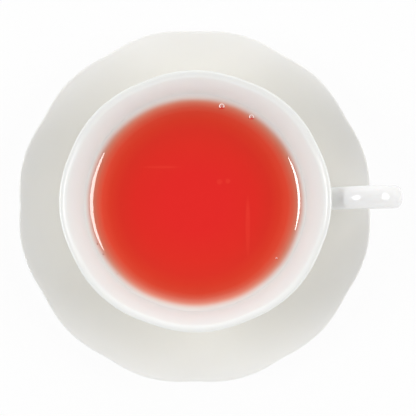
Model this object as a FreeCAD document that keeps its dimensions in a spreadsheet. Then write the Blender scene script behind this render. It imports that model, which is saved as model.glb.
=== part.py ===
"""A white bone-china teacup with a loop handle, standing in its scalloped saucer and filled with tea.

Three pieces, in millimetres, +Z up. The origin is the centre of the saucer's foot ring, on the table,
and +X points to the cup's handle.
The saucer is a dish with twelve lobes on a foot ring. The cup is one piece: a thin bowl whose flared
rim has eight lobes and is slightly oval, with a foot ring and a looped strap handle that springs from
under the rim. The tea fills the bowl up to its level.
"""

import FreeCAD
import Part
import Sketcher

import math
import os

Vector = FreeCAD.Vector

# Driving sizes, in millimetres and degrees
SIZES = {
    # Saucer: heights above the table
    "saucer_radius": 75.3,
    "saucer_height": 20.0,
    "saucer_turn": 15.0,
    "saucer_wall": 3.0,
    "saucer_notch": 1.08,
    "brim_depth": 2.2,
    "brim_lean": 0.6,
    "brim_flat": 1.1,
    "seat_width": 1.5,
    "seat_height": 7.1,
    "well_height": 6.2,
    "well_bank": 2.1,
    "sole_height": 3.0,
    "saucer_foot_radius": 43.0,
    "saucer_foot_width": 3.0,
    # Cup: heights above its own foot
    "rim_radius": 52.4,
    "rim_height": 59.3,
    "cup_turn": 1.2,
    "cup_wall": 2.2,
    "rim_wall": 2.4,
    "rim_notch": 0.5,
    "rim_oval": 0.0197,
    "floor_radius": 16.0,
    "floor_height": 6.3,
    "foot_radius": 24.4,
    "foot_width": 3.6,
    "foot_recess": 2.6,
    "foot_clearance": 2.0,
    # Handle: how far it reaches out from the rim, its strap, whose taper is the share of the width left
    # at the lower root, and the radii that its centre line bends to
    "handle_reach": 27.6,
    "strap_width": 9.0,
    "strap_thickness": 5.4,
    "strap_taper": 0.5,
    "root_sink": 6.0,
    "spring_bend": 8.0,
    "crown_bend": 8.7,
    "elbow_bend": 5.2,
    "tail_bend": 14.0,
    "root_fillet": 2.0,
    # Tea: how far its level lies below the rim
    "tea_drop": 16.2,
}


def fill_sheet(document):
    """Write every driving size to the document's spreadsheet, where all expressions find it."""
    sheet = document.addObject("Spreadsheet::Sheet", "dims")
    for row, (name, value) in enumerate(SIZES.items(), start=1):
        sheet.set(f"A{row}", name)
        sheet.set(f"B{row}", str(value))
        sheet.setAlias(f"B{row}", name)


def new_body(document, label):
    body = document.addObject("PartDesign::Body", label)
    body.Label = label
    return body


def new_sketch(body, name, plane):
    """Add a sketch on one of the body's own origin planes."""
    support = next(item for item in body.Origin.OriginFeatures if item.Role == plane)
    sketch = body.newObject("Sketcher::SketchObject", name)
    sketch.AttachmentSupport = [(support, "")]
    sketch.MapMode = "FlatFace"
    return sketch


def dimension(sketch, kind, start, value, *places):
    """Add a driving dimension between places: it starts at a number and follows an expression."""
    index = sketch.addConstraint(Sketcher.Constraint(kind, *places, start))
    sketch.setExpression(f"Constraints[{index}]", value)


def place_point(sketch, start, pole, geometry, end):
    """Fix one end of a sketch's geometry from the sketch's origin by a pair of expressions."""
    dimension(sketch, "DistanceX", start.x, pole[0], -1, 1, geometry, end)
    dimension(sketch, "DistanceY", start.y, pole[1], -1, 1, geometry, end)


# ---------------------------------------------------------------------------------------------
# Level sections and lofts

# How far the three spline poles of a lobe stand out from its crest, in notch depths: two on its
# flanks and one at the notch. The curve itself then touches the crest and the notch's bottom.
LOBE_POLES = (0.067, -1.533, 0.067)


def spline_loop(sketch, poles, size):
    """Add a closed cubic spline and fix each pole, a pair of expressions. It starts as a ring."""
    count = len(poles)
    turns = [2 * math.pi * index / count for index in range(count)]
    ring = [Vector(size * math.cos(turn), size * math.sin(turn), 0) for turn in turns]
    curve = Part.BSplineCurve()
    curve.buildFromPolesMultsKnots(ring, [1] * (count + 1), list(range(count + 1)), True, 3)
    spline = sketch.addGeometry(curve)
    sketch.exposeInternalGeometry(spline)
    first = sketch.ConstraintCount
    fixings = []
    for index, start in enumerate(ring):
        mark = spline + 1 + index
        fixings.append(Sketcher.Constraint("DistanceX", -1, 1, mark, 3, start.x))
        fixings.append(Sketcher.Constraint("DistanceY", -1, 1, mark, 3, start.y))
    sketch.addConstraint(fixings)
    for index, value in enumerate(value for pole in poles for value in pole):
        sketch.setExpression(f"Constraints[{first + index}]", value)


def lobed_section(body, name, lobes, radius, height, notch="0", oval="0"):
    """Draw one level section: a closed spline round the crests' radius with a notch between lobes."""
    sketch = new_sketch(body, name, "XY_Plane")
    sketch.setExpression(".AttachmentOffset.Base.z", height)
    count = len(LOBE_POLES) * lobes
    step = 360 / count
    swell = 3 / (2 + math.cos(math.radians(step)))
    poles = []
    for index in range(count):
        angle = (index + 0.5) * step
        stand = LOBE_POLES[index % len(LOBE_POLES)]
        crest = f"({radius}) * (1 + ({oval}) * cos({2 * angle} deg))"
        reach = f"{swell:.6f} * ({crest} + ({notch}) * {stand})"
        poles.append((f"{reach} * cos({angle} deg)", f"{reach} * sin({angle} deg)"))
    spline_loop(sketch, poles, SIZES["rim_radius"])
    return sketch


def inset(before, here, after, wall):
    """Move a station square to its skin by a wall: in and up if positive, out and down if negative."""
    run = f"({after[0]} - {before[0]})"
    rise = f"({after[1]} - {before[1]})"
    slant = f"hypot({run}; {rise})"
    return f"{here[0]} - {wall} * {rise} / {slant}", f"{here[1]} + {wall} * {run} / {slant}"


def loft(body, kind, name, sections):
    feature = body.newObject(f"PartDesign::{kind}", name)
    feature.Profile = sections[0]
    feature.Sections = sections[1:]
    return feature


# ---------------------------------------------------------------------------------------------
# Turned parts and rounded edges


def turned(body, kind, name, corners):
    """Turn a closed profile, given by its corners' radius and height, once round the axis."""
    sketch = new_sketch(body, f"{name}_profile", "XZ_Plane")
    count = len(corners)
    starts = [Vector(1 + index, index * index, 0) for index in range(count)]
    for start, end in zip(starts, starts[1:] + starts[:1]):
        sketch.addGeometry(Part.LineSegment(start, end))
    for index in range(count):
        sketch.addConstraint(Sketcher.Constraint("Coincident", index, 2, (index + 1) % count, 1))
    for index, (start, corner) in enumerate(zip(starts, corners)):
        place_point(sketch, start, corner, index, 1)
    feature = body.newObject(f"PartDesign::{kind}", name)
    feature.Profile = sketch
    feature.ReferenceAxis = (sketch, ["V_Axis"])
    feature.Angle = 360
    return feature


def foot_corners(radius, width, sole):
    """A foot ring's half profile: the disc that closes it, its tapering sides and its worn toe."""
    bevel = f"{width} * 0.25"
    return [
        ("0", f"{sole} + {width}"),
        ("0", sole),
        (f"{radius} - {width} - {bevel}", sole),
        (f"{radius} - {width}", bevel),
        (f"{radius} - {width} + {bevel}", "0"),
        (f"{radius} - {bevel}", "0"),
        (radius, bevel),
        (f"{radius} - {bevel}", f"{sole} + {width}"),
    ]


# How closely an edge has to lie at a height to count as level there
LEVEL_MATCH = 0.05


def rounded(body, name, radius, chosen):
    """Round those edges of the body's last feature that a test picks, by an expression's radius."""
    body.Document.recompute()
    base = body.Tip
    edges = [f"Edge{index}" for index, edge in enumerate(base.Shape.Edges, start=1) if chosen(edge)]
    feature = body.newObject("PartDesign::Fillet", name)
    feature.Base = (base, edges)
    feature.setExpression("Radius", radius)


def level_ring(height, inner, outer):
    """A test for the closed edges that lie level at a height, of a radius between two limits."""

    def chosen(edge):
        box = edge.BoundBox
        level = max(abs(box.ZMin - height), abs(box.ZMax - height)) < LEVEL_MATCH
        return level and inner < edge.Length / (2 * math.pi) < outer

    return chosen


# ---------------------------------------------------------------------------------------------
# Saucer: a dish whose lobes deepen towards its brim, a sunk well for the cup and a foot ring

SAUCER_LOBES = 12

# The saucer's upper skin from its seat out: each station's share of the way out and up to the brim,
# and the share of the brim's notches that has formed there.
SAUCER_PROFILE = {
    "seat": (0.0, 0.0, 0.0),
    "heel": (0.333, 0.124, 0.0),
    "slope": (0.578, 0.357, 0.15),
    "wing": (0.8, 0.651, 0.5),
    "brim": (1.0, 1.0, 1.0),
}

# The well's floor takes the cup's foot with a clearance; the seat is the flat that its bank climbs to.
WELL_RADIUS = "dims.foot_radius + dims.foot_clearance"
BANK_RADIUS = f"{WELL_RADIUS} + dims.well_bank"
SEAT_RADIUS = f"{BANK_RADIUS} + dims.seat_width"


def saucer_station(name):
    out, up, _ = SAUCER_PROFILE[name]
    radius = f"({SEAT_RADIUS} + {out} * (dims.saucer_radius - ({SEAT_RADIUS})))"
    return radius, f"(dims.seat_height + {up} * (dims.saucer_height - dims.seat_height))"


def saucer_section(body, skin, name, radius, height):
    notch = f"dims.saucer_notch * {SAUCER_PROFILE[name][2]}"
    return lobed_section(body, f"{skin}_{name}", SAUCER_LOBES, radius, height, notch)


def dish_sections(body, skin, wall):
    """Draw the dish's stations between seat and brim, on its upper skin or moved out by a wall."""
    names = list(SAUCER_PROFILE)
    sections = []
    for before, here, after in zip(names, names[1:], names[2:]):
        radius, height = inset(saucer_station(before), saucer_station(here), saucer_station(after), wall)
        sections.append(saucer_section(body, skin, here, radius, height))
    return sections


def build_saucer(document):
    body = new_body(document, "saucer")
    top = "dims.saucer_height"

    # The disc in the middle and its foot ring are turned; the dish's underside grows out of them.
    foot_radius = "dims.saucer_foot_radius"
    foot_width = "dims.saucer_foot_width"
    turned(body, "Revolution", "saucer_foot", foot_corners(foot_radius, foot_width, "dims.sole_height"))
    root = saucer_section(body, "under", "seat", f"{foot_radius} - {foot_width} * 0.5", "dims.sole_height")
    edge_radius = "dims.saucer_radius - dims.brim_lean"
    edge = saucer_section(body, "under", "brim", edge_radius, f"{top} - dims.brim_depth")
    loft(body, "AdditiveLoft", "underside", [root, *dish_sections(body, "under", "-dims.saucer_wall"), edge])
    brim = saucer_section(body, "edge", "brim", "dims.saucer_radius", top)
    loft(body, "AdditiveLoft", "brim", [edge, brim])

    # The upper skin is cut from the seat up to a narrow flat round the brim, and the well is sunk.
    seat = saucer_section(body, "upper", "seat", SEAT_RADIUS, "dims.seat_height")
    mouth = saucer_section(body, "upper", "brim", "dims.saucer_radius - dims.brim_flat", top)
    loft(body, "SubtractiveLoft", "upper_skin", [seat, *dish_sections(body, "upper", "0"), mouth])
    well = [
        ("0", "dims.well_height"),
        (WELL_RADIUS, "dims.well_height"),
        (BANK_RADIUS, "dims.seat_height"),
        (BANK_RADIUS, top),
        ("0", top),
    ]
    turned(body, "Groove", "well", well)

    # The brim's two upper edges and its lower one are rounded over.
    foot = SIZES["saucer_foot_radius"]
    edge_height = SIZES["saucer_height"] - SIZES["brim_depth"]
    rounded(body, "brim_round", "dims.brim_flat * 0.45", level_ring(SIZES["saucer_height"], foot, math.inf))
    rounded(body, "edge_round", "dims.brim_depth * 0.35", level_ring(edge_height, foot, math.inf))
    body.setExpression(".Placement.Rotation.Angle", "dims.saucer_turn")
    return body


# ---------------------------------------------------------------------------------------------
# Cup: a flared, lobed bowl on a foot ring, with its handle, all of one piece

CUP_LOBES = 8

# The bowl's outer skin from its foot up: each station's share of the way out from the foot's radius
# and up from the table to the rim, then the shares of the rim's notches and oval formed there.
CUP_PROFILE = {
    "bowl": (0.0, 0.085, 0.0, 0.0),
    "hip": (0.259, 0.209, 0.0, 0.05),
    "belly": (0.475, 0.371, 0.0, 0.15),
    "waist": (0.637, 0.565, 0.1, 0.3),
    "shoulder": (0.763, 0.767, 0.3, 0.5),
    "lip": (0.849, 0.88, 0.6, 0.7),
    "rim": (1.0, 1.0, 1.0, 1.0),
}


def cup_station(name):
    out, up = CUP_PROFILE[name][:2]
    return f"(dims.foot_radius + {out} * (dims.rim_radius - dims.foot_radius))", f"(dims.rim_height * {up})"


def cup_section(body, skin, name, radius, height):
    notch, oval = CUP_PROFILE[name][2:]
    notch_depth = f"dims.rim_notch * {notch}"
    label = f"{skin}_{name}"
    return lobed_section(body, label, CUP_LOBES, radius, height, notch_depth, f"dims.rim_oval * {oval}")


def outer_sections(body):
    return [cup_section(body, "outer", name, *cup_station(name)) for name in CUP_PROFILE]


def inner_sections(body):
    """Draw the hollow's stations: its floor, then the outer ones a wall further in, then the mouth."""
    names = list(CUP_PROFILE)
    sections = [cup_section(body, "floor", "bowl", "dims.floor_radius", "dims.floor_height")]
    for before, here, after in zip(names, names[1:], names[2:]):
        radius, height = inset(cup_station(before), cup_station(here), cup_station(after), "dims.cup_wall")
        sections.append(cup_section(body, "inner", here, radius, height))
    sections.append(cup_section(body, "inner", "rim", "dims.rim_radius - dims.rim_wall", "dims.rim_height"))
    return sections


# The corners of the handle's centre line, from the root under the rim round to the lower root: each
# one's share of the reach out past the rim, and of the rim's height. A root's own station places it.
HANDLE_PROFILE = {
    "upper_root": (None, 0.761),
    "spring": (0.167, 0.761),
    "crown": (0.446, 0.946),
    "elbow": (1.0, 0.84),
    "tail": (0.928, 0.477),
    "lower_root": (None, 0.266),
}

# The stations of the bowl beside which the handle's two roots are sunk.
ROOT_STATIONS = {"upper_root": "shoulder", "lower_root": "hip"}

# A strap's spline poles: how far out those at its four corners stand against those on its sides.
STRAP_CORNER = 0.82


def handle_corner(name):
    """Give a corner of the handle's centre line as a pair of expressions."""
    out, up = HANDLE_PROFILE[name]
    height = f"dims.rim_height * {up}"
    if name in ROOT_STATIONS:
        return f"{cup_station(ROOT_STATIONS[name])[0]} - dims.root_sink", height
    return f"dims.rim_radius + dims.handle_reach * {out}", height


def value_of(document, expression):
    """Work out an expression in the sheet's names as a number."""
    return float(document.dims.evalExpression(expression))


def bent_route(body, name, corners):
    """Draw the centre line through named corners: straight runs joined by tangent arcs, either way round."""
    sketch = new_sketch(body, name, "XZ_Plane")
    poles = [handle_corner(corner) for corner in corners]
    points = [Vector(value_of(body.Document, pole[0]), value_of(body.Document, pole[1]), 0) for pole in poles]
    bends = []
    start = points[0]
    for index in range(1, len(points) - 1):
        inward = (points[index] - points[index - 1]).normalize()
        onward = (points[index + 1] - points[index]).normalize()
        radius = value_of(body.Document, f"dims.{corners[index]}_bend")
        trim = radius * math.tan(inward.getAngle(onward) / 2)
        entry = points[index] - inward * trim
        leaving = points[index] + onward * trim
        clockwise = inward.x * onward.y < inward.y * onward.x
        centre = entry + Vector(inward.y, -inward.x, 0) * (radius if clockwise else -radius)
        ends = (leaving, entry) if clockwise else (entry, leaving)
        angles = [math.atan2((end - centre).y, (end - centre).x) for end in ends]
        run = sketch.addGeometry(Part.LineSegment(start, entry))
        circle = Part.Circle(centre, Vector(0, 0, 1), radius)
        bend = sketch.addGeometry(Part.ArcOfCircle(circle, *angles))
        bends.append((index, run, bend, radius, (2, 1) if clockwise else (1, 2)))
        start = leaving
    last_run = sketch.addGeometry(Part.LineSegment(start, points[-1]))

    place_point(sketch, points[0], poles[0], 0, 1)
    place_point(sketch, points[-1], poles[-1], last_run, 2)
    for index, run, bend, radius, (bend_entry, bend_exit) in bends:
        next_run = bend + 1
        mark = sketch.addGeometry(Part.Point(points[index]), True)
        sketch.addConstraint(Sketcher.Constraint("Tangent", run, 2, bend, bend_entry))
        sketch.addConstraint(Sketcher.Constraint("Tangent", bend, bend_exit, next_run, 1))
        sketch.addConstraint(Sketcher.Constraint("PointOnObject", mark, 1, run))
        sketch.addConstraint(Sketcher.Constraint("PointOnObject", mark, 1, next_run))
        dimension(sketch, "Radius", radius, f"dims.{corners[index]}_bend", bend)
        place_point(sketch, points[index], poles[index], mark, 1)
    return sketch


def strap_section(body, name, route, edge, place, width):
    """Draw the strap's rounded section, of a width, square to a place on an edge of its centre line."""
    sketch = body.newObject("Sketcher::SketchObject", name)
    sketch.AttachmentSupport = [(route, f"Edge{edge}")]
    sketch.MapMode = "NormalToEdge"
    sketch.MapPathParameter = place
    stand = 1.5 / (2 + STRAP_CORNER)
    poles = []
    for across, through in ((1, 0), (1, 1), (0, 1), (-1, 1), (-1, 0), (-1, -1), (0, -1), (1, -1)):
        share = stand * (STRAP_CORNER if across and through else 1)
        poles.append((f"{width} * {across * share:.5f}", f"dims.strap_thickness * {through * share:.5f}"))
    spline_loop(sketch, poles, SIZES["strap_width"])
    return sketch


def sweep_handle(body, corners):
    """Sweep the strap round its centre line: as wide down to the elbow, then tapering to its lower root."""
    route = bent_route(body, "handle_route", corners)
    body.Document.recompute()
    full, narrow = "dims.strap_width", "dims.strap_width * dims.strap_taper"
    to_elbow = 2 * corners.index("elbow") - 1
    to_end = 2 * len(corners) - 3
    handle = body.newObject("PartDesign::AdditivePipe", "handle")
    handle.Spine = (route, [])
    handle.Profile = strap_section(body, "upper_strap", route, 1, 0, full)
    elbow_strap = strap_section(body, "elbow_strap", route, to_elbow, 1, full)
    lower_strap = strap_section(body, "lower_strap", route, to_end, 1, narrow)
    handle.Sections = [(elbow_strap, [""]), (lower_strap, [""])]
    handle.Transformation = "Multisection"


def at_root(edge):
    """A test for the edges where the handle's strap meets the bowl's outer skin."""
    box = edge.BoundBox
    half_width = SIZES["strap_width"] / 2 + SIZES["root_fillet"]
    beside = max(-box.YMin, box.YMax) < half_width
    outside = box.XMin > SIZES["foot_radius"] and box.XMax < SIZES["rim_radius"]
    return beside and outside and box.ZMax < SIZES["rim_height"] * HANDLE_PROFILE["crown"][1]


def stand_in_well(body):
    """Stand a piece that is drawn above the cup's foot in the saucer's well, turned with the cup."""
    body.setExpression(".Placement.Base.z", "dims.well_height")
    body.setExpression(".Placement.Rotation.Angle", "dims.cup_turn")


def build_cup(document):
    body = new_body(document, "cup")
    turned(body, "Revolution", "foot", foot_corners("dims.foot_radius", "dims.foot_width", "dims.foot_recess"))
    loft(body, "AdditiveLoft", "bowl", outer_sections(body))
    sweep_handle(body, list(HANDLE_PROFILE))
    loft(body, "SubtractiveLoft", "hollow", inner_sections(body))

    # The strap's roots are blended into the bowl, and both edges of the lip are rounded over.
    rounded(body, "root_round", "dims.root_fillet", at_root)
    mid_wall = SIZES["rim_radius"] - SIZES["rim_wall"] / 2
    rounded(body, "lip_outside", "dims.rim_wall * 0.33", level_ring(SIZES["rim_height"], mid_wall, math.inf))
    rounded(body, "lip_inside", "dims.rim_wall * 0.45", level_ring(SIZES["rim_height"], 0, mid_wall))
    stand_in_well(body)
    return body


# ---------------------------------------------------------------------------------------------
# Tea: what fills the cup's hollow up to its level


def build_tea(document):
    """Fill the cup's hollow, then turn away what stands above the level, out past the oval rim."""
    body = new_body(document, "tea")
    loft(body, "AdditiveLoft", "filling", inner_sections(body))
    level = "dims.rim_height - dims.tea_drop"
    past_rim = "dims.rim_radius * (1 + 2 * dims.rim_oval)"
    above_rim = "dims.rim_height + dims.rim_wall"
    air = [("0", level), (past_rim, level), (past_rim, above_rim), ("0", above_rim)]
    turned(body, "Groove", "air", air)
    stand_in_well(body)
    return body


# ---------------------------------------------------------------------------------------------


def check(document, pieces):
    """Stop on any failed object or broken solid, before a file is written."""
    for item in document.Objects:
        if {"Invalid", "Error"} & set(item.State):
            raise RuntimeError(f"{item.Name} failed: {item.State}")
    for piece in pieces:
        if piece.Shape.isNull() or not piece.Shape.isValid() or len(piece.Shape.Solids) != 1:
            raise RuntimeError(f"{piece.Label} is not one valid solid")


teacup = FreeCAD.newDocument("teacup")
fill_sheet(teacup)
teacup.recompute()
pieces = [build(teacup) for build in (build_saucer, build_cup, build_tea)]
teacup.recompute()
check(teacup, pieces)
os.makedirs("parts", exist_ok=True)
for piece in pieces:
    piece.Shape.exportStep(f"parts/{piece.Label}.step")
    box = piece.Shape.BoundBox
    print(f"{piece.Label}: {piece.Shape.Volume / 1000:.1f} cm3, {box.XLength:.1f} x {box.YLength:.1f} x {box.ZLength:.1f} mm")
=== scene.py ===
"""A cup of red tea in white bone china, standing in its scalloped saucer on a pale table."""
import math

import bmesh
import bpy
import numpy as np
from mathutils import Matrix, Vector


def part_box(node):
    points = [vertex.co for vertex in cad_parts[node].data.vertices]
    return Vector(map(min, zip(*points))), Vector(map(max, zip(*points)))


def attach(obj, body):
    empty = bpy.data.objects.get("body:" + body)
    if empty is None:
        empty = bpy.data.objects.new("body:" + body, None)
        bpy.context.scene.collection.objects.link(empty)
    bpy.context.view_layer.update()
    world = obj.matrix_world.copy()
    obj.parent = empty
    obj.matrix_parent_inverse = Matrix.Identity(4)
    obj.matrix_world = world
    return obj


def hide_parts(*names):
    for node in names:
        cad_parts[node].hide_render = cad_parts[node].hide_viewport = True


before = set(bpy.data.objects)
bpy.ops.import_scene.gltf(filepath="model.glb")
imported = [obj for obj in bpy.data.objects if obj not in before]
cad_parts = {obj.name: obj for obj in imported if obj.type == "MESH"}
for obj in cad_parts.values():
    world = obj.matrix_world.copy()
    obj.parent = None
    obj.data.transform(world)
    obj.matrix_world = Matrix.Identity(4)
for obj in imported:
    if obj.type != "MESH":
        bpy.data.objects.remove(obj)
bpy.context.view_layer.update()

# ---------------------------------------------------------------------------------------------
# SAUCER
# A dish of bone china, pressed over a plaster mould whose twelve lobes fade out towards a sunk
# well. It is dipped in clear glaze, and its foot ring is wiped bare so that it doesn't stick to
# the kiln's shelf.

MM = 0.001
FACETS_ROUND = 480
FINE_STEP = 0.08

saucer_low, saucer_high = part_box("saucer")
cup_low, cup_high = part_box("cup")

SAUCER_LOBES = 12
SAUCER_NOTCH = 1.08
SAUCER_LOBE_GROWTH = 3.2
NOTCH_BLUNTNESS = 0.24
SAUCER_TURN = math.radians(15)
SAUCER_RADIUS = 75.15
SAUCER_HEIGHT = saucer_high[2] / MM
WELL_HEIGHT = cup_low[2] / MM
SEAT_RADIUS = 30.0
SAUCER_UPPER = [(30.0, 7.1), (45.1, 8.7), (56.2, 11.7), (66.2, 15.5), (74.1, SAUCER_HEIGHT)]
SAUCER_UNDER = [(43.4, 4.7), (47.0, 6.2), (57.2, 8.9), (67.4, 12.8), (74.7, SAUCER_HEIGHT - 2.2)]
SAUCER_FOOT = [(0.0, 3.0), (39.2, 3.0), (40.0, 0.75), (40.75, 0.0), (42.25, 0.0), (43.0, 0.75), (42.5, 4.0)]
SAUCER_WELL = [(28.5, 7.1), (26.4, WELL_HEIGHT), (0.0, WELL_HEIGHT)]
SAUCER_SOFTNESS = 0.42


def smooth_through(stations, count=80):
    """Draw a natural cubic curve through the stations of a skin."""
    points = np.array(stations, dtype=float)
    steps = np.hypot(*np.diff(points, axis=0).T)
    travel = np.concatenate([[0.0], np.cumsum(steps)])
    size = len(points)
    system = np.eye(size)
    right = np.zeros((size, 2))
    for index in range(1, size - 1):
        before, after = steps[index - 1], steps[index]
        system[index, index - 1 : index + 2] = before, 2 * (before + after), after
        slopes = np.diff(points[index - 1 : index + 2], axis=0) / np.array([[before], [after]])
        right[index] = 6 * (slopes[1] - slopes[0])
    bends = np.linalg.solve(system, right)
    drawn = []
    for place in np.linspace(0, travel[-1], count):
        index = min(int(np.searchsorted(travel, place, side="right")) - 1, size - 2)
        span = steps[index]
        left, rest = place - travel[index], travel[index + 1] - place
        curve = bends[index] * rest**3 + bends[index + 1] * left**3
        curve /= 6 * span
        curve += (points[index] / span - bends[index] * span / 6) * rest
        curve += (points[index + 1] / span - bends[index + 1] * span / 6) * left
        drawn.append(tuple(curve))
    return drawn


def glazed(corners, softness, mirrored=True, longest=2.2, sharpest=math.radians(5)):
    """Round an outline's corners as molten glaze does, and keep only the points that it needs.

    Both ends lie on the axis where mirrored, so that the outline meets it square.
    """
    corners = np.array(corners, dtype=float)
    steps = np.hypot(*np.diff(corners, axis=0).T)
    travel = np.concatenate([[0.0], np.cumsum(steps)])
    fine = np.linspace(0, travel[-1], int(travel[-1] / FINE_STEP))
    path = np.column_stack([np.interp(fine, travel, column) for column in corners.T])
    reach = int(4 * softness / FINE_STEP)
    weights = np.exp(-0.5 * (np.arange(-reach, reach + 1) * FINE_STEP / softness) ** 2)
    weights /= weights.sum()
    flip = np.array([-1.0, 1.0]) if mirrored else np.array([1.0, 1.0])
    head = path[1 : reach + 1][::-1] * flip
    tail = path[-reach - 1 : -1][::-1] * flip
    if not mirrored:
        head = 2 * path[0] - head
        tail = 2 * path[-1] - tail
    longer = np.vstack([head, path, tail])
    soft = np.column_stack([np.convolve(longer[:, axis], weights, mode="valid") for axis in (0, 1)])
    if mirrored:
        soft[0, 0] = soft[-1, 0] = 0.0
    headings = np.unwrap(np.arctan2(*np.diff(soft, axis=0).T[::-1]))
    kept = [0]
    turned = 0.0
    for index in range(1, len(soft) - 1):
        turned += abs(headings[index] - headings[index - 1])
        if turned > sharpest or (index - kept[-1]) * FINE_STEP > longest:
            kept.append(index)
            turned = 0.0
    return soft[kept + [len(soft) - 1]]


def lobe_dip(angles, lobes):
    """Give how far a scalloped ring dips, from 0 on a crest to 1 in a rounded notch."""
    crest = np.sqrt(np.cos(lobes * angles / 2) ** 2 + NOTCH_BLUNTNESS**2)
    return 1 - (crest - NOTCH_BLUNTNESS) / (math.sqrt(1 + NOTCH_BLUNTNESS**2) - NOTCH_BLUNTNESS)


def lathe(name, outline, ring_radius, turn):
    """Turn an outline from axis to axis into a closed piece; ring_radius shapes each ring."""
    angles = np.linspace(0, 2 * math.pi, FACETS_ROUND, endpoint=False)
    mesh = bpy.data.meshes.new(name)
    shape = bmesh.new()
    rings = []
    for radius, height in outline[1:-1]:
        radii = ring_radius(radius, height, angles) * MM
        across, along = radii * np.cos(angles + turn), radii * np.sin(angles + turn)
        rings.append([shape.verts.new((x, y, height * MM)) for x, y in zip(across, along)])
    poles = [shape.verts.new((0, 0, outline[end][1] * MM)) for end in (0, -1)]
    for ring, pole in ((rings[0], poles[0]), (rings[-1], poles[1])):
        for index in range(FACETS_ROUND):
            shape.faces.new((ring[index - 1], ring[index], pole))
    for inner, outer in zip(rings, rings[1:]):
        for index in range(FACETS_ROUND):
            shape.faces.new((inner[index - 1], inner[index], outer[index], outer[index - 1]))
    bmesh.ops.recalc_face_normals(shape, faces=shape.faces)
    shape.to_mesh(mesh)
    shape.free()
    mesh.shade_smooth()
    piece = bpy.data.objects.new(name, mesh)
    bpy.context.scene.collection.objects.link(piece)
    return piece


class Wire:
    """One output socket of a material, so that a shader's sums read as plain arithmetic."""

    def __init__(self, tree, socket=None):
        self.tree = tree
        self.socket = socket

    def node(self, kind, settings=None, output=0, **sockets):
        """Add a node: its settings first, then the values or wires of its sockets, by name or as i0, i1."""
        made = self.tree.nodes.new(kind)
        for name, value in (settings or {}).items():
            setattr(made, name, value)
        for name, value in sockets.items():
            numbered = name[1:].isdigit()
            place = made.inputs[int(name[1:]) if numbered else name.replace("_", " ")]
            if isinstance(value, Wire):
                self.tree.links.new(value.socket, place)
            else:
                place.default_value = value
        return Wire(self.tree, made.outputs[output])

    def maths(self, operation, *values):
        """Add a sum of numbers, or of vectors where one of its values is a tuple."""
        named = {f"i{index}": value for index, value in enumerate(values)}
        on_vectors = any(isinstance(value, tuple) for value in values)
        kind = "ShaderNodeVectorMath" if on_vectors else "ShaderNodeMath"
        return self.node(kind, {"operation": operation}, **named)

    def __add__(self, other):
        return self.maths("ADD", self, other)

    def __sub__(self, other):
        return self.maths("SUBTRACT", self, other)

    def __rsub__(self, other):
        return self.maths("SUBTRACT", other, self)

    def __mul__(self, other):
        return self.maths("MULTIPLY", self, other)

    def __truediv__(self, other):
        return self.maths("DIVIDE", self, other)

    def __pow__(self, other):
        return self.maths("POWER", self, other)

    __radd__ = __add__
    __rmul__ = __mul__

    def clipped(self):
        return self.node("ShaderNodeClamp", Value=self)

    def ramp(self, low, high):
        """Climb smoothly from 0 to 1 between two values."""
        settings = {"interpolation_type": "SMOOTHSTEP"}
        return self.node("ShaderNodeMapRange", settings, Value=self, From_Min=low, From_Max=high)

    def ramped(self, stops):
        """Look this value up in a ramp of colours, given as its places and colours from 0 to 1."""
        made = self.node("ShaderNodeValToRGB", Fac=self)
        ramp = made.socket.node.color_ramp
        for _ in stops[2:]:
            ramp.elements.new(0.5)
        for element, (place, colour) in zip(ramp.elements, stops):
            element.position = place
            element.color = (*colour, 1)
        return made

    def tint(self, colour, other):
        """Mix two colours by this share, the second where it is 1."""
        return self.node("ShaderNodeMix", {"data_type": "RGBA"}, 2, i0=self, i6=colour, i7=other)


def new_material(name):
    """Start a material and hand out its wires and its surface shader."""
    material = bpy.data.materials.new(name)
    material.use_nodes = True
    tree = material.node_tree
    return material, Wire(tree), tree.nodes["Principled BSDF"]


def feed(wires, shader, name, value):
    """Wire what changes over a surface to one of its shader's sockets."""
    wires.tree.links.new(value.socket, shader.inputs[name])


# Painted shade and light: the cream is painted shade on the saucer near the cup; the brim's white and the
# handle's white are painted lighter
CREAM_PAINTED_SHADE = (0.845, 0.828, 0.778, 1)
CHINA_WHITE = (0.852, 0.855, 0.838, 1)
CHINA_PAINTED_LIGHT = (0.92, 0.912, 0.892, 1)
HANDLE_PAINTED_LIGHT = (0.875, 0.872, 0.868, 1)
BARE_CHINA = (0.80, 0.775, 0.72, 1)
# Between these heights over the toe the wiped foot takes up its glaze, in millimetres
TOE_GLAZES = (0.25, 0.7)
GLAZE_ROUGHNESS = 0.07
POOLED_ROUGHNESS = 0.05
BARE_ROUGHNESS = 0.5
POOL_SCALE = 38
POOL_EDGES = (0.35, 0.75)
POOL_SHIFT = 2.0
WAVE_SCALE = 95
WAVE_DEPTH = 0.000035
GRAIN_SCALE = 2600
GRAIN_DEPTH = 0.00008
GLOW_DEPTH = 2.5
# Between these reaches from the axis the saucer's painted shade near the cup fades out to a lighter white,
# in millimetres
SAUCER_PAINTED_SHADE_FADES = (56, 80)


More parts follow.
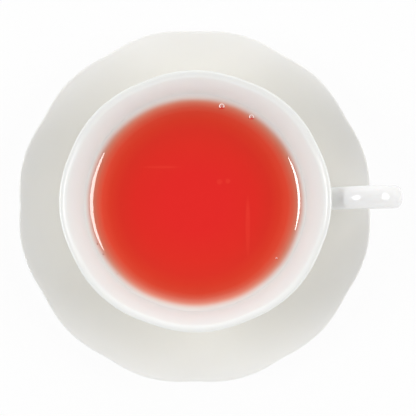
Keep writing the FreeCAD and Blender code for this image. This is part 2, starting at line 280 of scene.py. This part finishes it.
def glazed_china(name, toe_height, inner_colour, outer_colour, painted_shading_from, painted_shading_to):
    """Clear gloss glaze over bone china, bare and matt on the foot's toe; its colour turns from inner to
    outer with the reach from the axis, as painted shade near the cup on the saucer and painted light on the
    handle.
    """
    material, wires, shader = new_material(name)
    place = wires.node("ShaderNodeTexCoord", output=3)
    height = wires.node("ShaderNodeSeparateXYZ", output=2, Vector=place)
    bare = 1 - height.ramp(toe_height + TOE_GLAZES[0] * MM, toe_height + TOE_GLAZES[1] * MM)
    reach = wires.node("ShaderNodeVectorMath", {"operation": "LENGTH"}, 1, i0=place * (1, 1, 0)) / MM
    pooled = wires.node("ShaderNodeTexNoise", Vector=place, Scale=POOL_SCALE, Detail=3).ramp(*POOL_EDGES)
    grain = wires.node("ShaderNodeTexNoise", Vector=place, Scale=GRAIN_SCALE, Detail=2)
    # Painted shade and light: the colour turns from the inner to the outer one with the reach from the axis
    glaze = (reach + pooled * POOL_SHIFT).ramp(painted_shading_from, painted_shading_to).tint(inner_colour, outer_colour)
    feed(wires, shader, "Base Color", bare.tint(glaze, BARE_CHINA))
    feed(wires, shader, "Roughness", GLAZE_ROUGHNESS + POOLED_ROUGHNESS * pooled + BARE_ROUGHNESS * bare)
    waves = wires.node("ShaderNodeTexNoise", Vector=place, Scale=WAVE_SCALE, Detail=1)
    relief = waves * WAVE_DEPTH + grain * bare * GRAIN_DEPTH
    bumped = wires.node("ShaderNodeBump", Strength=1.0, Distance=1.0, Height=relief)
    feed(wires, shader, "Normal", bumped)
    shader.inputs["IOR"].default_value = 1.52
    shader.inputs["Subsurface Weight"].default_value = 0.12
    shader.inputs["Subsurface Radius"].default_value = (1.0, 0.9, 0.75)
    shader.inputs["Subsurface Scale"].default_value = GLOW_DEPTH * MM
    return material


def saucer_ring(radius, height, angles):
    """Give a ring's radii, round as far as the cup's seat and lobed from there to the edge."""
    formed = np.clip((radius - SEAT_RADIUS) / (SAUCER_RADIUS - SEAT_RADIUS), 0, 1) ** SAUCER_LOBE_GROWTH
    return radius - SAUCER_NOTCH * formed * lobe_dip(angles, SAUCER_LOBES)


brim = [(SAUCER_RADIUS, SAUCER_HEIGHT)]
saucer_under = SAUCER_FOOT + smooth_through(SAUCER_UNDER)
saucer_upper = smooth_through(SAUCER_UPPER[::-1]) + SAUCER_WELL
saucer_outline = glazed(saucer_under + brim + saucer_upper, SAUCER_SOFTNESS)
saucer = lathe("saucer_dish", saucer_outline, saucer_ring, SAUCER_TURN)
saucer_glaze = glazed_china("saucer_glaze", saucer_low[2], CREAM_PAINTED_SHADE, CHINA_PAINTED_LIGHT, *SAUCER_PAINTED_SHADE_FADES)
saucer.data.materials.append(saucer_glaze)
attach(saucer, "root")
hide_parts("saucer")

# ---------------------------------------------------------------------------------------------
# CUP
# A thin bowl of bone china, cast in a mould with a slightly oval rim of eight lobes, and its looped
# strap handle, cast apart and stuck on with slip while both are leather-hard. One glaze covers both.

CUP_LOBES = 8
RIM_NOTCH = 0.5
CUP_LOBE_GROWTH = 4.1
RIM_OVAL = 0.0197
OVAL_GROWTH = 2.2
CUP_TURN = math.radians(1.5)
CUP_FOOT = cup_low[2] / MM
RIM_HEIGHT = cup_high[2] / MM
CUP_WALL = 2.2
LIP_WALL = 2.3
LIP_GROWTH = 6
LIP_DEPTHS = (1.5, 1.1)
LIP_FULLNESS = 1.5
LIP_STEPS = 20
CUP_SOFTNESS = 0.3
CUP_SKIN = [
    (24.4, 5.0),
    (31.65, 12.4),
    (37.7, 22.0),
    (42.2, 33.5),
    (45.8, 45.5),
    (48.2, 52.2),
    (52.75, RIM_HEIGHT - CUP_FOOT),
]
CUP_TOE = [(23.7, 4.8), (24.4, 0.9), (23.5, 0.0), (21.7, 0.0), (20.8, 0.9), (19.9, 2.6), (0.0, 2.6)]
CUP_FLOOR = [(0.0, 6.3), (16.0, 6.3)]
FLOOR_MEETS_WALL = 13.5


def lifted(points, by):
    """Raise the points of an outline by a height."""
    return [(radius, height + by) for radius, height in points]


outer_skin = np.array(lifted(smooth_through(CUP_SKIN, 160), CUP_FOOT))


def inner_skin():
    """Offset the outer skin square to itself by the wall, which thins towards the lip."""
    along = np.gradient(outer_skin, axis=0)
    along /= np.hypot(*along.T)[:, None]
    share = np.clip((outer_skin[:, 1] - CUP_FOOT) / (RIM_HEIGHT - CUP_FOOT), 0, 1)
    wall = CUP_WALL + (LIP_WALL - CUP_WALL) * share**LIP_GROWTH
    moved = outer_skin + np.column_stack([-along[:, 1], along[:, 0]]) * wall[:, None]
    return moved[moved[:, 1] < RIM_HEIGHT]


def cup_ring(radius, height, angles):
    """Give a ring's radii, round at the foot and growing oval and lobed towards the rim."""
    share = np.clip((height - CUP_FOOT) / (RIM_HEIGHT - CUP_FOOT), 0, 1)
    oval = 1 + RIM_OVAL * share**OVAL_GROWTH * np.cos(2 * angles)
    return radius * oval - RIM_NOTCH * share**CUP_LOBE_GROWTH * lobe_dip(angles, CUP_LOBES)


def rounded_lip(inside, outside):
    """Carry the inner skin over into the outer one by a full, slightly flattened round."""
    rise = (inside[-1] - inside[-3]) / np.linalg.norm(inside[-1] - inside[-3])
    fall = (outside[0] - outside[2]) / np.linalg.norm(outside[0] - outside[2])
    start, end = inside[-1], outside[0]
    first = start + rise * LIP_DEPTHS[0] * LIP_FULLNESS
    second = end + fall * LIP_DEPTHS[1] * LIP_FULLNESS
    drawn = []
    for share in np.linspace(0, 1, LIP_STEPS)[1:-1]:
        rest = 1 - share
        risen = start * rest**3 + 3 * first * rest**2 * share
        drawn.append(risen + 3 * second * rest * share**2 + end * share**3)
    return drawn


hollow = inner_skin()
over_floor = hollow[:, 1] > CUP_FOOT + FLOOR_MEETS_WALL
under_lip = hollow[:, 1] < RIM_HEIGHT - LIP_DEPTHS[0]
hollow = hollow[over_floor & under_lip]
shell = outer_skin[outer_skin[:, 1] < RIM_HEIGHT - LIP_DEPTHS[1]][::-1]
cup_walls = [*hollow, *rounded_lip(hollow, shell), *shell]
cup_outline = lifted(CUP_FLOOR, CUP_FOOT) + cup_walls + lifted(CUP_TOE, CUP_FOOT)
cup = lathe("cup_bowl", glazed(cup_outline, CUP_SOFTNESS), cup_ring, CUP_TURN)

STRAP_WIDTH = 9.0
STRAP_THICKNESS = 5.4
STRAP_TAPER = 0.5
STRAP_SQUARENESS = 2.0
STRAP_FACETS = 64
ROOT_BLEND = 2.6
ROOT_SINKS = 1.0
FILLET_RINGS = 9
ARC_STEPS = 24
ROUTE_SOFTNESS = 1.5
ROUTE_STEP = 0.8
ROUTE_TURN = math.radians(4)
# Corners of the handle's centre line out from the axis and up from the cup's foot, each with the
# radius that it is bent to: out of the wall, up to the crown, over it, down the back and in again
HANDLE_ROUTE = [
    ((39.8, 45.1), 0),
    ((55.2, 45.1), 4.0),
    ((57.6, 49.0), 4.5),
    ((65.4, 53.0), 20.0),
    ((70.2, 54.5), 11.0),
    ((76.0, 52.8), 40.0),
    ((80.0, 51.4), 4.8),
    ((78.0, 28.3), 14.0),
    ((25.65, 15.8), 0),
]


def bent_route(route):
    """Walk a route of straight runs, joined at its corners by arcs of their own radius."""
    walked = [np.array(route[0][0])]
    for (before, _), (corner, radius), (after, _) in zip(route, route[1:], route[2:]):
        before, corner, after = np.array(before), np.array(corner), np.array(after)
        inward = (corner - before) / np.linalg.norm(corner - before)
        onward = (after - corner) / np.linalg.norm(after - corner)
        turn = math.acos(inward @ onward)
        down = math.copysign(1, inward[1] * onward[0] - inward[0] * onward[1])
        entry = corner - inward * radius * math.tan(turn / 2)
        centre = entry + np.array([inward[1], -inward[0]]) * radius * down
        for swept in np.linspace(0, turn, ARC_STEPS) * down:
            swing = np.array([[math.cos(swept), math.sin(swept)], [-math.sin(swept), math.cos(swept)]])
            walked.append(centre + swing @ (entry - centre))
    walked.append(np.array(route[-1][0]))
    return walked


route = glazed(bent_route(HANDLE_ROUTE), ROUTE_SOFTNESS, False, ROUTE_STEP, ROUTE_TURN)
route[:, 1] += CUP_FOOT
heading = np.gradient(route, axis=0)
heading /= np.hypot(*heading.T)[:, None]
walked = np.concatenate([[0.0], np.cumsum(np.hypot(*np.diff(route, axis=0).T))])
at_elbow = walked[np.argmax(route[:, 0])]
past_elbow = np.clip((walked - at_elbow) / (walked[-1] - at_elbow), 0, 1)
strap_widths = STRAP_WIDTH * (1 - (1 - STRAP_TAPER) * past_elbow)
strap_sides = np.linspace(0, 2 * math.pi, STRAP_FACETS, endpoint=False)


def wall_radius(height, angle):
    """Give the radius of the bowl's outer skin at a height and an angle."""
    radius = np.interp(height, outer_skin[:, 1], outer_skin[:, 0])
    return float(cup_ring(radius, height, angle))


def outside_wall(point):
    """Say how far a point stands outside the bowl's outer skin, less than 0 within it."""
    return math.hypot(point[0], point[1]) - wall_radius(point[2], math.atan2(point[1], point[0]))


def onto_wall(point, sunk=0.0):
    """Move a point level onto the bowl's outer skin, or as far as it is sunk below it."""
    angle = math.atan2(point[1], point[0])
    radius = wall_radius(point[2], angle) - sunk
    return np.array([radius * math.cos(angle), radius * math.sin(angle), point[2]])


def strap_point(index, side):
    """Place one point of the strap's rounded section at a point of its route."""
    across = math.copysign(abs(math.cos(side)) ** (2 / STRAP_SQUARENESS), math.cos(side))
    through = math.copysign(abs(math.sin(side)) ** (2 / STRAP_SQUARENESS), math.sin(side))
    out = np.array([-heading[index][1], heading[index][0]]) * through * STRAP_THICKNESS / 2
    return np.array([route[index][0] + out[0], across * strap_widths[index] / 2, route[index][1] + out[1]])


def root_rings(order):
    """Blend the strap into the wall: from free rings in a rounded fillet to a ring sunk in the wall."""
    middle = next(index for index in order if outside_wall((route[index][0], 0, route[index][1])) > 0)
    centre = onto_wall(np.array([route[middle][0], 0, route[middle][1]]))
    columns = []
    first_free = 0
    for side in strap_sides:
        outside = (outside_wall(strap_point(index, side)) > 0 for index in order)
        crossing = next(place for place, free in enumerate(outside) if free)
        inner, outer = strap_point(order[crossing - 1], side), strap_point(order[crossing], side)
        low, high = outside_wall(inner), outside_wall(outer)
        corner = inner + (outer - inner) * (-low / (high - low))
        travelled = np.linalg.norm(outer - corner)
        place = crossing
        while travelled < ROOT_BLEND:
            step = strap_point(order[place + 1], side) - strap_point(order[place], side)
            travelled += np.linalg.norm(step)
            place += 1
        away = corner - centre
        away *= ROOT_BLEND / np.linalg.norm(away)
        landing = onto_wall(corner + away)
        columns.append((place, strap_point(order[place], side), corner, landing))
        first_free = max(first_free, place)
    rings = []
    for share in np.linspace(1, 0, FILLET_RINGS):
        ring = []
        for place, start, corner, landing in columns:
            ring.append(start * (1 - share) ** 2 + corner * 2 * share * (1 - share) + landing * share**2)
        rings.append(ring)
    sunk = [onto_wall(point, ROOT_SINKS) for point in rings[0]]
    return [sunk] + rings, columns, first_free


def handle_shell():
    """Build the strap as one closed shell whose two ends are sunk in the wall."""
    count = len(route)
    top_order, tail_order = list(range(count)), list(range(count - 1, -1, -1))
    top_rings, top_columns, top_free = root_rings(top_order)
    tail_rings, tail_columns, tail_free = root_rings(tail_order)

    def eased(columns, order, first_free):
        """Fill each side between where its own fillet ends and the first ring free of them all."""
        rings = []
        steps = first_free - min(place for place, *_ in columns)
        for step in range(1, steps + 1):
            ring = []
            for side, (place, *_) in zip(strap_sides, columns):
                exact = place + (first_free - place) * step / (steps + 1)
                low = int(exact)
                share = exact - low
                near, far = strap_point(order[low], side), strap_point(order[low + 1], side)
                ring.append(near * (1 - share) + far * share)
            rings.append(ring)
        return rings

    rings = top_rings + eased(top_columns, top_order, top_free)
    for index in range(top_free, count - tail_free):
        rings.append([strap_point(index, side) for side in strap_sides])
    rings += eased(tail_columns, tail_order, tail_free)[::-1] + tail_rings[::-1]
    shape = bmesh.new()
    cosine, sine = math.cos(CUP_TURN), math.sin(CUP_TURN)
    turn = np.array([[cosine, -sine, 0], [sine, cosine, 0], [0, 0, 1]])
    placed = [[shape.verts.new(tuple(turn @ point * MM)) for point in ring] for ring in rings]
    for one, other in zip(placed, placed[1:]):
        for index in range(STRAP_FACETS):
            shape.faces.new((one[index - 1], one[index], other[index], other[index - 1]))
    for ring in (placed[0], placed[-1]):
        shape.faces.new(ring)
    bmesh.ops.recalc_face_normals(shape, faces=shape.faces)
    mesh = bpy.data.meshes.new("cup_handle")
    shape.to_mesh(mesh)
    shape.free()
    mesh.shade_smooth()
    shell = bpy.data.objects.new("cup_handle", mesh)
    bpy.context.scene.collection.objects.link(shell)
    return shell


def stick_on(body, part):
    """Join a part to a body as one skin, and take the part away."""
    union = body.modifiers.new("slip", "BOOLEAN")
    union.operation = "UNION"
    union.solver = "EXACT"
    union.object = part
    bpy.context.view_layer.update()
    evaluated = body.evaluated_get(bpy.context.evaluated_depsgraph_get())
    joined = bpy.data.meshes.new_from_object(evaluated)
    body.modifiers.remove(union)
    body.data = joined
    bpy.data.objects.remove(part)
    joined.shade_smooth()


# Beyond the rim, between these reaches, the glaze turns to a lighter white painted on the handle as painted
# light, in millimetres
HANDLE_PAINTED_LIGHT_REACHES = (54.5, 58)
stick_on(cup, handle_shell())
cup.data.materials.clear()
cup.data.materials.append(
    glazed_china("cup_glaze", cup_low[2], CHINA_WHITE, HANDLE_PAINTED_LIGHT, *HANDLE_PAINTED_LIGHT_REACHES)
)
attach(cup, "root")
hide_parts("cup")

# ---------------------------------------------------------------------------------------------
# TEA
# A clear red infusion that fills the bowl to its level and creeps up the wall in a narrow meniscus.
# White china shines back through it, so its red thins to the china's own colour at the wall.

TEA_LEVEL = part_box("tea")[1][2] / MM
CREEP_HEIGHT = 3.1
CREEP_LENGTH = 3.3
INTO_WALL = 0.3
EDGE_RISE = 0.1
SIDE_DROP = 0.3
FLAT_ENDS = 12
FLAT_RINGS = 12
MENISCUS_STARTS = 11.5
MENISCUS_RINGS = 60
WATERLINE = TEA_LEVEL + CREEP_HEIGHT
WATERLINE_RADIUS = float(np.interp(WATERLINE, hollow[:, 1], hollow[:, 0]))


def tea_height(radius):
    """Give the height of the tea's surface, meniscus and all, at a reach from the axis."""
    return TEA_LEVEL + CREEP_HEIGHT * math.exp((radius - WATERLINE_RADIUS) / CREEP_LENGTH)


def tea_outline():
    """Run from the middle of the surface up the meniscus, just into the wall and down to the floor."""
    flat = np.linspace(0, WATERLINE_RADIUS - FLAT_ENDS, FLAT_RINGS)
    meniscus = np.linspace(WATERLINE_RADIUS - MENISCUS_STARTS, WATERLINE_RADIUS, MENISCUS_RINGS)
    surface = [(radius, tea_height(radius)) for radius in np.concatenate([flat, meniscus])]
    edge = [(WATERLINE_RADIUS + INTO_WALL, WATERLINE + EDGE_RISE)]
    wetted = hollow[::-4]
    side = [(radius + INTO_WALL, height) for radius, height in wetted if height < WATERLINE - SIDE_DROP]
    floor = CUP_FOOT + CUP_FLOOR[0][1] - INTO_WALL
    return surface + edge + side + [(CUP_FLOOR[1][0], floor), (0.0, floor)]


tea = lathe("tea_filling", np.array(tea_outline()), cup_ring, CUP_TURN)

# How the colour deepens with the distance in from the waterline, in millimetres: ahead and behind, then at
# the two sides, where the red is painted lighter as painted light against the shade that the rim casts on
# the tea
TEA_DEEPENS = [
    (0.0, (0.77, 0.70, 0.68)),
    (0.6, (0.755, 0.67, 0.645)),
    (1.1, (0.745, 0.635, 0.585)),
    (1.6, (0.75, 0.55, 0.485)),
    (2.3, (0.77, 0.385, 0.31)),
    (3.0, (0.77, 0.25, 0.17)),
    (3.7, (0.77, 0.18, 0.115)),
    (5.0, (0.755, 0.110, 0.064)),
    (7.0, (0.73, 0.060, 0.031)),
    (10.0, (0.75, 0.047, 0.0235)),
    (14.0, (0.765, 0.037, 0.0225)),
    (20.0, (0.79, 0.033, 0.0215)),
    (32.0, (0.805, 0.0265, 0.0225)),
]
SIDE_DEEPENS_AND_PAINTED_LIGHT = [
    (0.0, (0.87, 0.84, 0.82)),
    (0.4, (0.86, 0.81, 0.78)),
    (0.9, (0.86, 0.71, 0.66)),
    (1.3, (0.85, 0.60, 0.54)),
    (1.7, (0.84, 0.48, 0.41)),
    (2.3, (0.80, 0.36, 0.28)),
    (3.0, (0.80, 0.290, 0.200)),
    (3.7, (0.83, 0.225, 0.145)),
    (5.0, (0.85, 0.145, 0.085)),
    (7.0, (0.80, 0.073, 0.038)),
    (10.0, (0.76, 0.048, 0.0240)),
    (14.0, (0.75, 0.034, 0.0210)),
    (20.0, (0.785, 0.029, 0.0210)),
    (32.0, (0.805, 0.0265, 0.0225)),
]
DEEPEST = 32.0
SWIRL_SCALE = 55
SWIRL_REACH = 0.9
# The light that the tea throws onto the china round it is paler than the tea itself looks
BOUNCE_PALES = 0.9
BOUNCE_TINT = (0.83, 0.81, 0.81, 1)
# Streaks of painted reflection, in a lighter red, on the tea's surface: middles and half lengths, in
# millimetres
REFLECTION_STREAKS = [
    ((-13.7, 14.2), (6.4, 0.5)),
    ((21.0, -9.8), (0.8, 10.0)),
    ((9.7, 8.3), (1.0, 1.0)),
    ((13.1, 8.6), (0.9, 0.9)),
]
# How the painted reflection fades at the streaks' ends, its lighter red, and its share
REFLECTION_FADES = (0.2, 2.0)
REFLECTION_TINT = (0.90, 0.075, 0.045, 1)
REFLECTION_SHARE = 0.55
# How far in the steep, film-bright meniscus glints more than flat tea does
GLINT_REACH = 7.0
GLINT_FADES = 2.0


def red_tea():
    """Gloss over a red whose green and blue die away with the depth of tea over the china, painted lighter
    at the two sides against the rim's shade, with streaks of painted reflection.
    """
    material, wires, shader = new_material("red_tea")
    place = wires.node("ShaderNodeTexCoord", output=3)
    across = wires.node("ShaderNodeSeparateXYZ", output=0, Vector=place) / MM
    along = wires.node("ShaderNodeSeparateXYZ", output=1, Vector=place) / MM
    share = (TEA_LEVEL - CUP_FOOT) / (RIM_HEIGHT - CUP_FOOT)
    oval = RIM_OVAL * share**OVAL_GROWTH
    sideways = (across / (1 + oval)) ** 2
    span = sideways + (along / (1 - oval)) ** 2
    swirl = wires.node("ShaderNodeTexNoise", Vector=place, Scale=SWIRL_SCALE, Detail=3)
    inward = WATERLINE_RADIUS - wires.maths("SQRT", span) + (swirl - 0.5) * SWIRL_REACH
    depths = []
    for deepens in (TEA_DEEPENS, SIDE_DEEPENS_AND_PAINTED_LIGHT):
        stops = [(distance / DEEPEST, colour) for distance, colour in deepens]
        depths.append((inward / DEEPEST).ramped(stops))
    # Painted light: towards the two sides the red is lighter, against the shade that the rim casts there
    red = (sideways / (span + 1)).tint(*depths)
    # Painted reflection: streaks of a lighter red laid over the tea
    film = 0.0
    for middle, half in REFLECTION_STREAKS:
        spread = ((across - middle[0]) / half[0]) ** 2 + ((along - middle[1]) / half[1]) ** 2
        film = 1 - spread.ramp(*REFLECTION_FADES) + film
    red = (film * REFLECTION_SHARE * swirl).clipped().tint(red, REFLECTION_TINT)
    bounced = wires.node("ShaderNodeLightPath", output="Is Diffuse Ray") * BOUNCE_PALES
    feed(wires, shader, "Base Color", bounced.tint(red, BOUNCE_TINT))
    shader.inputs["Roughness"].default_value = 0.03
    feed(wires, shader, "Coat Weight", 1 - inward.ramp(GLINT_REACH - GLINT_FADES, GLINT_REACH))
    shader.inputs["Coat IOR"].default_value = 1.6
    shader.inputs["Coat Roughness"].default_value = 0.03
    shader.inputs["IOR"].default_value = 1.34
    return material


tea.data.materials.append(red_tea())
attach(tea, "root")
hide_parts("tea")

# ---------------------------------------------------------------------------------------------
# BUBBLES AND LEAF DUST
# Air that pouring whipped in, left as a few small bubbles that cling to the meniscus, and crumbs of
# tea leaf that came through the strainer and were carried to the wall, where they float half sunk.

# Middles and radii, in millimetres
BUBBLES = [((10.6, 38.5), 1.1), ((22.5, 34.2), 1.0), ((32.4, -22.3), 0.35)]
CRUMBS = [
    ((-38.9, -16.6), 0.24),
    ((-36.6, -20.7), 0.22),
    ((12.9, 38.3), 0.22),
    ((-31.0, -28.5), 0.16),
]
FLOAT_FLATNESS = 0.6
CRUMB_RAGGEDNESS = 0.3
BUBBLE_RISE = 0.35
# Painted light on the bubble's far side, painted shade in dark red in front, and the strength of a painted
# glow
BUBBLE_PAINTED_LIGHT = (1.0, 0.88, 0.85, 1)
BUBBLE_PAINTED_SHADE = (0.70, 0.03, 0.02, 1)
BUBBLE_PAINTED_GLOW = 0.22
# As shares of the radius: where the painted dark red shade in front gives way to the painted light behind,
# and where the film turns dense
BUBBLE_SHADE_GIVES_WAY = (-0.65, -0.25)
BUBBLE_DENSE = (0.45, 0.85)
CROWN_FILM = 0.15
FOOT_FILM = 0.8
LEAF_BROWN = (0.40, 0.09, 0.05, 1)
LEAF_PALE = (0.58, 0.20, 0.13, 1)
LEAF_SCALE = 3000
FLOAT_SEED = 11


def afloat(name, middle, radius, rise, ragged, seed, material):
    """Set a small round thing on the tea, its middle proud of it by a share of its radius."""
    mesh = bpy.data.meshes.new(name)
    shape = bmesh.new()
    bmesh.ops.create_icosphere(shape, subdivisions=3, radius=radius * MM)
    random = np.random.default_rng(seed)
    for vertex in shape.verts:
        vertex.co *= 1 + ragged * random.uniform(-1, 1)
        vertex.co.z *= FLOAT_FLATNESS
    shape.to_mesh(mesh)
    shape.free()
    mesh.shade_smooth()
    piece = bpy.data.objects.new(name, mesh)
    height = tea_height(math.hypot(*middle)) + rise * radius
    piece.location = (middle[0] * MM, middle[1] * MM, height * MM)
    bpy.context.scene.collection.objects.link(piece)
    mesh.materials.append(material)
    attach(piece, "root")


def bubble_film(radius):
    """A clear skin of tea round air: hardly there at its crown, dense round its foot, painted dark red as
    shade in front, painted pale as light behind, and given a painted glow.
    """
    material, wires, shader = new_material("bubble_film")
    place = wires.node("ShaderNodeTexCoord", output=3)
    along = wires.node("ShaderNodeSeparateXYZ", output=1, Vector=place)
    reach = wires.node("ShaderNodeVectorMath", {"operation": "LENGTH"}, 1, i0=place * (1, 1, 0))
    front_low, front_high = (share * radius * MM for share in BUBBLE_SHADE_GIVES_WAY)
    # Painted shade and light: dark red in front turning pale behind
    tint = along.ramp(front_low, front_high).tint(BUBBLE_PAINTED_SHADE, BUBBLE_PAINTED_LIGHT)
    feed(wires, shader, "Base Color", tint)
    # Painted glow: the bubble gives off light in the same colours
    feed(wires, shader, "Emission Color", tint)
    shader.inputs["Emission Strength"].default_value = BUBBLE_PAINTED_GLOW
    dense = (reach / (radius * MM)).ramp(*BUBBLE_DENSE)
    feed(wires, shader, "Alpha", CROWN_FILM + FOOT_FILM * dense)
    shader.inputs["Roughness"].default_value = 0.02
    shader.inputs["IOR"].default_value = 1.34
    return material


def wet_leaf():
    """Soaked, ragged leaf with a wet shine."""
    material, wires, shader = new_material("wet_leaf")
    place = wires.node("ShaderNodeTexCoord", output=3)
    blotch = wires.node("ShaderNodeTexNoise", Vector=place, Scale=LEAF_SCALE, Detail=2)
    feed(wires, shader, "Base Color", blotch.tint(LEAF_BROWN, LEAF_PALE))
    shader.inputs["Roughness"].default_value = 0.3
    return material


leaf = wet_leaf()
for number, (middle, radius) in enumerate(BUBBLES, 1):
    film = bubble_film(radius)
    afloat(f"bubble_{number}", middle, radius, BUBBLE_RISE, 0.0, FLOAT_SEED, film)
for number, (middle, radius) in enumerate(CRUMBS, 1):
    seed = FLOAT_SEED + number
    afloat(f"leaf_crumb_{number}", middle, radius, 0.0, CRUMB_RAGGEDNESS, seed, leaf)

# ---------------------------------------------------------------------------------------------
# TABLE, LIGHT AND CAMERA
# A white laminate table in a room with pale walls, a dark ceiling and a window behind the cup. An
# oval softbox hangs over each side of the cup, and the camera looks down from a stand overhead.

TABLE_HALF = 3.0
TABLE_GLOW = 0.93
table_mesh = bpy.data.meshes.new("table")
corners = [(x * TABLE_HALF, y * TABLE_HALF, 0) for x, y in ((-1, -1), (1, -1), (1, 1), (-1, 1))]
table_mesh.from_pydata(corners, [], [(0, 1, 2, 3)])
table = bpy.data.objects.new("table", table_mesh)
bpy.context.scene.collection.objects.link(table)
table_white, wires, shader = new_material("table_white")
shader.inputs["Base Color"].default_value = (0.9, 0.9, 0.9, 1)
shader.inputs["Roughness"].default_value = 0.9
shader.inputs["Specular IOR Level"].default_value = 0.0
looks = ("Is Camera Ray", "Is Glossy Ray", "Is Transmission Ray")
seen = [wires.node("ShaderNodeLightPath", output=name) for name in looks]
shown = (seen[0] + seen[1] + seen[2]).clipped() * TABLE_GLOW
glow = wires.node("ShaderNodeEmission", Color=(1, 1, 1, 1), Strength=1.0)
shaded = Wire(wires.tree, shader.outputs[0])
mixed = wires.node("ShaderNodeMixShader", i0=shown, i1=shaded, i2=glow)
wires.tree.links.new(mixed.socket, wires.tree.nodes["Material Output"].inputs["Surface"])
table_mesh.materials.append(table_white)

# Both edges are cosines: of the angle from straight up, and of the angle from the window's middle
WALL_GLOW = 1.06
WALL_EDGE = (0.5, 0.8)
WINDOW_GLOW = 0.65
WINDOW_EDGE = (0.75, 1.0)
WINDOW_RISE = 35
room = bpy.data.worlds.new("room")
bpy.context.scene.world = room
room.use_nodes = True
air = Wire(room.node_tree)
sky = air.node("ShaderNodeTexCoord", output=0)
away = air.node("ShaderNodeSeparateXYZ", output=1, Vector=sky)
upward = air.node("ShaderNodeSeparateXYZ", output=2, Vector=sky)
rise = math.radians(WINDOW_RISE)
facing_window = away * math.cos(rise) + upward * math.sin(rise)
walls = WALL_GLOW * (1 - upward.ramp(*WALL_EDGE))
strength = walls + WINDOW_GLOW * facing_window.ramp(*WINDOW_EDGE)
backdrop = room.node_tree.nodes["Background"]
room.node_tree.links.new(strength.socket, backdrop.inputs["Strength"])
backdrop.inputs["Color"].default_value = (1, 1, 1, 1)

SOFTBOX_DISTANCE = 1.0


def softbox(name, azimuth, elevation, width, height, power):
    """Hang a soft light over the tea, by its azimuth and elevation, and turn it to face it."""
    lamp = bpy.data.lights.new(name, "AREA")
    lamp.shape = "ELLIPSE"
    lamp.size = width
    lamp.size_y = height
    lamp.energy = power
    holder = bpy.data.objects.new(name, lamp)
    turn, rise = math.radians(azimuth), math.radians(elevation)
    holder.location = (
        SOFTBOX_DISTANCE * math.cos(rise) * math.cos(turn),
        SOFTBOX_DISTANCE * math.cos(rise) * math.sin(turn),
        SOFTBOX_DISTANCE * math.sin(rise) + TEA_LEVEL * MM,
    )
    holder.rotation_euler = (math.pi / 2 - rise, 0, turn + math.pi / 2)
    bpy.context.scene.collection.objects.link(holder)


softbox("softbox_right", azimuth=3.0, elevation=52, width=0.66, height=0.26, power=3.25)
softbox("softbox_left", azimuth=181, elevation=52, width=0.50, height=0.18, power=3.0)

camera_data = bpy.data.cameras.new("camera")
camera_data.sensor_width = 36
camera_data.lens = 115.4
camera_data.shift_x = 0.0314
camera_data.shift_y = -0.0028
camera = bpy.data.objects.new("camera", camera_data)
camera.location = (-0.0022, -0.0227, 0.582)
bpy.context.scene.collection.objects.link(camera)
bpy.context.scene.camera = camera
camera.rotation_euler = (math.radians(2.255), math.radians(-0.224), 0)

bpy.context.scene.view_settings.view_transform = "Standard"
